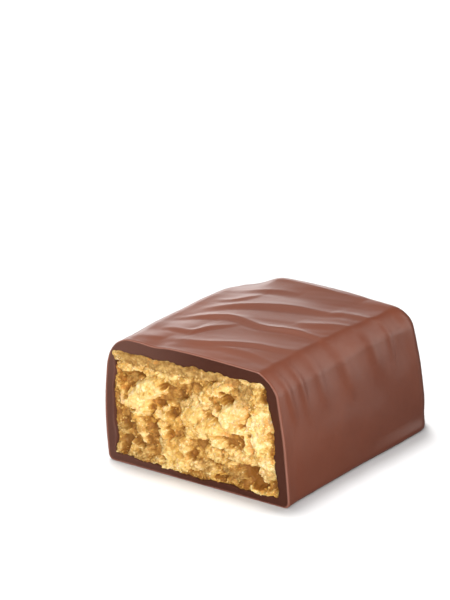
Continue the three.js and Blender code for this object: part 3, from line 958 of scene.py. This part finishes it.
crumbs = bmesh.new()
tone = crumbs.verts.layers.float.new("tone")
dull = crumbs.verts.layers.float.new("dull")
for _ in range(crumb_count):
    along = random.random()
    if random.random() < rim_share:
        foot, roof, right, left = (along, 0.03), (along, 0.9), (0.985, along), (0.02, along)
        share_x, share_z = random.choice((foot, foot, roof, right, left))
        share_x += random.gauss(0, 0.012)
        share_z += random.gauss(0, 0.02)
    else:
        share_x, share_z = random.random(), random.random()
    share_x = min(max(share_x, 0.01), 0.99)
    share_z = min(max(share_z, 0.02), 0.98)
    spot = core_point(share_x, 0, share_z)
    out, spot_tone, spot_dull, _ = face_relief(spot.x, spot.z)
    radius = random.uniform(*crumb_sizes) * random.uniform(0.7, 1)
    made = bmesh.ops.create_icosphere(crumbs, subdivisions=1, radius=radius)["verts"]
    stretch = Vector((random.uniform(0.7, 1.3), random.uniform(0.5, 1.0), random.uniform(0.7, 1.2)))
    turn = random.uniform(0, math.tau)
    brightness = random.uniform(0.3, 1.4)
    for vert in made:
        bump = 1 + 0.3 * noise.noise(vert.co * 9 + spot * 3)
        x, y, z = (part * size * bump for part, size in zip(vert.co, stretch))
        vert.co.x = x * math.cos(turn) - z * math.sin(turn)
        vert.co.y = y
        vert.co.z = x * math.sin(turn) + z * math.cos(turn)
        vert.co += Vector((spot.x, -out - crumb_seat * radius, spot.z))
        vert[tone] = 0.5 * spot_tone + 0.5 * brightness
        vert[dull] = spot_dull
crumb_piece = finish_mesh(crumbs, "halva_crumbs")
crumb_piece.data.materials.append(halva.material)
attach(crumb_piece, "root")

# ---------------------------------------------------------------------------------------------
# The studio: white paper under the candy, a large soft key from the right front, softboxes above,
# in front and all round the back that the ripples mirror, and the camera a little above the
# candy, looking at its cut and its right side.
# ---------------------------------------------------------------------------------------------

floor_size = 3
floor_gap = 0.00002  # so that the paper and the candy's underside don't share a plane

floor_mesh = bmesh.new()
bmesh.ops.create_grid(floor_mesh, x_segments=1, y_segments=1, size=floor_size)
bmesh.ops.translate(floor_mesh, vec=(0, 0, -floor_gap), verts=floor_mesh.verts)
mesh = bpy.data.meshes.new("floor")
floor_mesh.to_mesh(mesh)
floor_mesh.free()
floor = bpy.data.objects.new("floor", mesh)
bpy.context.scene.collection.objects.link(floor)
paper = Finish("white_paper", Base_Color=(0.765, 0.765, 0.765, 1), Roughness=0.9)
floor.data.materials.append(paper.material)
floor.visible_glossy = False

world = bpy.data.worlds.new("studio")
bpy.context.scene.world = world
world.use_nodes = True
background = world.node_tree.nodes["Background"]
background.inputs["Color"].default_value = (1, 1, 1, 1)
background.inputs["Strength"].default_value = 0.15


warm_white = (1, 0.88, 0.8)
light_target = Vector((0, 0, 0.008))


def soft_light(name, place, size, power, colour=(1, 1, 1)):
    """A rectangular softbox: its place, width and height in metres, and its power in watts."""
    light = bpy.data.lights.new(name, "AREA")
    light.shape = "RECTANGLE"
    light.size, light.size_y = size
    light.energy = power
    light.color = colour
    lamp = bpy.data.objects.new(name, light)
    lamp.location = place
    lamp.rotation_euler = (light_target - Vector(place)).to_track_quat("-Z", "Y").to_euler()
    bpy.context.scene.collection.objects.link(lamp)


soft_light("overhead_softbox", (-0.13, 0.05, 0.6), (0.12, 0.12), 3.0)
soft_light("front_softbox", (0.1, -0.35, 0.45), (0.3, 0.3), 0.8)
soft_light("left_rim_light", (-0.36, -0.05, 0.46), (0.15, 0.15), 0.5)
soft_light("right_key", (0.365, -0.43, 0.14), (0.42, 0.34), 3.45)
soft_light("back_left_softbox", (-0.49, 0.29, 0.12), (0.6, 0.32), 0.28, warm_white)
soft_light("high_left_softbox", (-0.394, 0.228, 0.343), (0.6, 0.25), 0.22, warm_white)
soft_light("back_left_strip", (-0.42, 0.38, 0.05), (0.5, 0.12), 0.68)
soft_light("right_back_softbox", (0.31, 0.38, 0.09), (0.18, 0.34), 0.6)
soft_light("high_back_softbox", (0.17, 0.39, 0.28), (0.18, 0.2), 0.25)

# The camera stands where the photo's did: its bearing and height round a point inside the candy,
# its lens, and the pixel of the photo that this point falls on.
bearing = math.radians(35.1)
elevation = math.radians(21.65)
distance = 0.4
aim = to_frame + Vector((0, 0.015, 0.008))
focal_pixels = 3230
frame_height = 600
sensor = 36
aim_pixel = Vector((267.65, 384.8))
frame_centre = Vector((225, 300))

camera = bpy.data.cameras.new("camera")
camera.sensor_width = sensor
camera.lens = focal_pixels * sensor / frame_height
camera.shift_x = (frame_centre.x - aim_pixel.x) / frame_height
camera.shift_y = (aim_pixel.y - frame_centre.y) / frame_height
camera.clip_start = 0.01
eye = bpy.data.objects.new("camera", camera)
toward_eye = Vector(
    (math.sin(bearing) * math.cos(elevation), -math.cos(bearing) * math.cos(elevation), math.sin(elevation))
)
eye.location = aim + distance * toward_eye
eye.rotation_euler = toward_eye.to_track_quat("Z", "Y").to_euler()
bpy.context.scene.collection.objects.link(eye)
bpy.context.scene.camera = eye
bpy.context.scene.view_settings.view_transform = "Standard"
